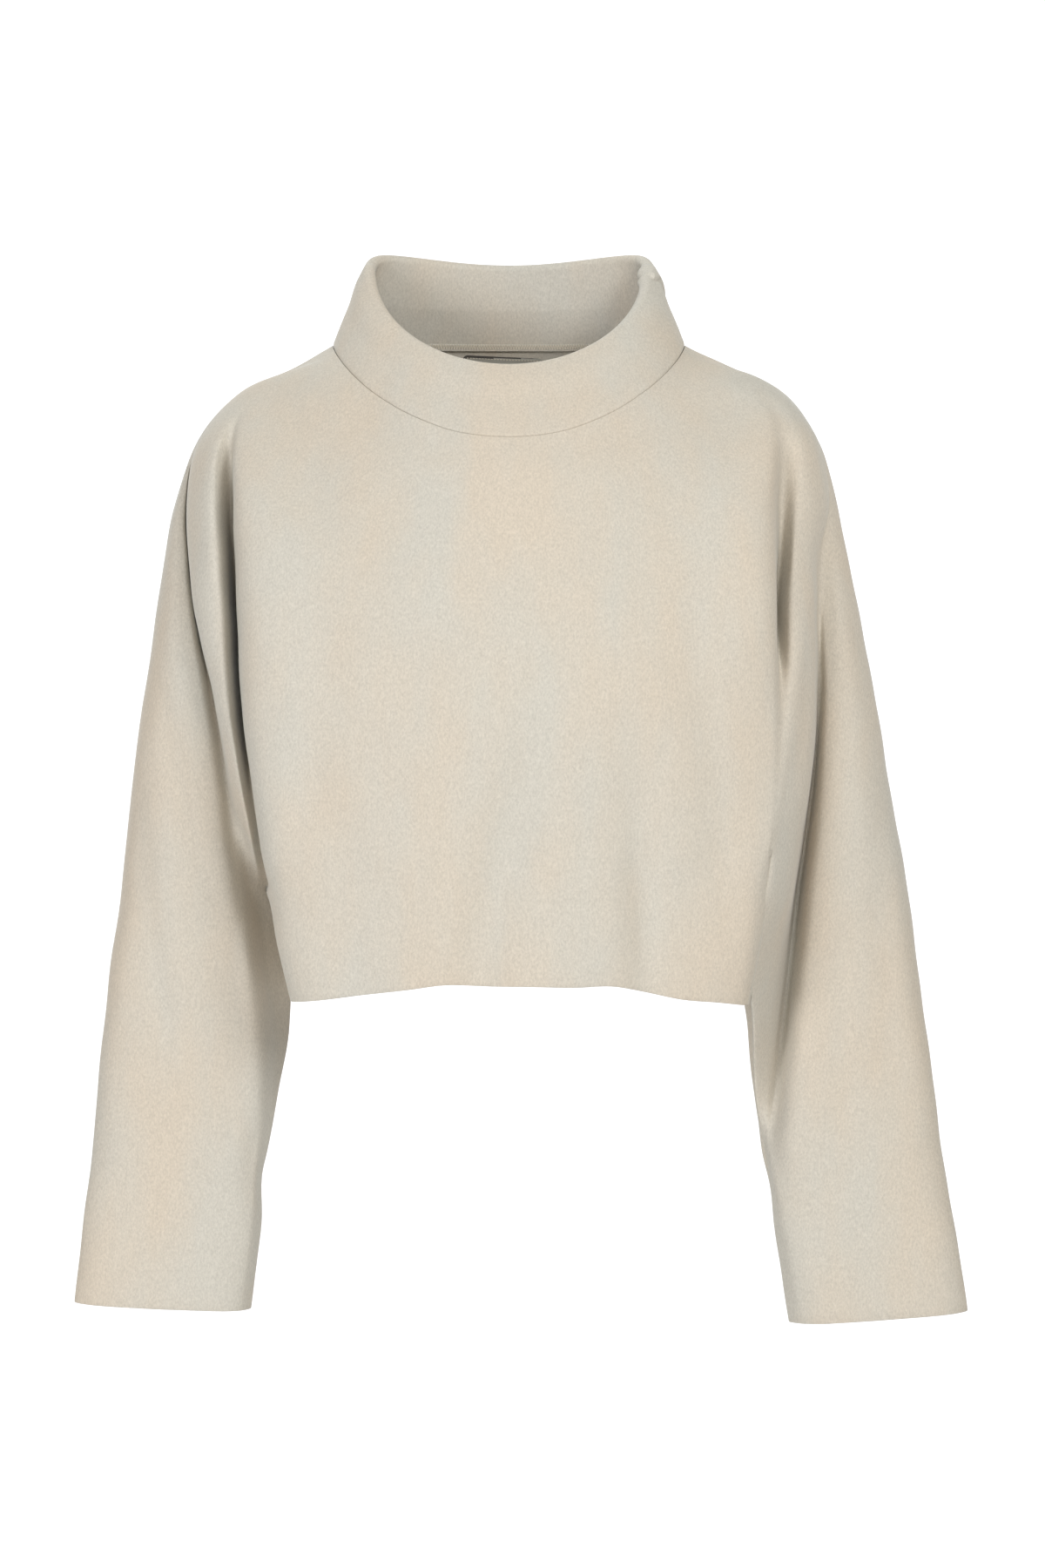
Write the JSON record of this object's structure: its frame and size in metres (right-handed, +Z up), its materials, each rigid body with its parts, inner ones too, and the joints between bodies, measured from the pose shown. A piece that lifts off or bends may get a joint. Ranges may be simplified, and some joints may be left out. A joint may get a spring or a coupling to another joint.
{
  "type": "cropped pullover sweater held up by a wearer's shoulders",
  "caption": "Cropped pullover with a wide standing collar, sleeves that run on from the body, deep folds at the arms, and a plain hem and cuffs.",
  "frame": {"origin": "midway between the two points where the shoulders meet the collar, where the wearer's shoulders hold the garment", "axes": "+Z up, -Y the front of the garment, +X towards the wearer's left arm"},
  "size_m": [0.63, 0.2412, 0.7596],
  "materials": {
    "cloth": "brushed matte knit with a soft nap",
    "label": "plain woven tape"
  },
  "bodies": {
    "root": {"front": "cloth", "back": "cloth", "collar": "cloth", "neck_label": "label"}
  },
  "joints": []
}
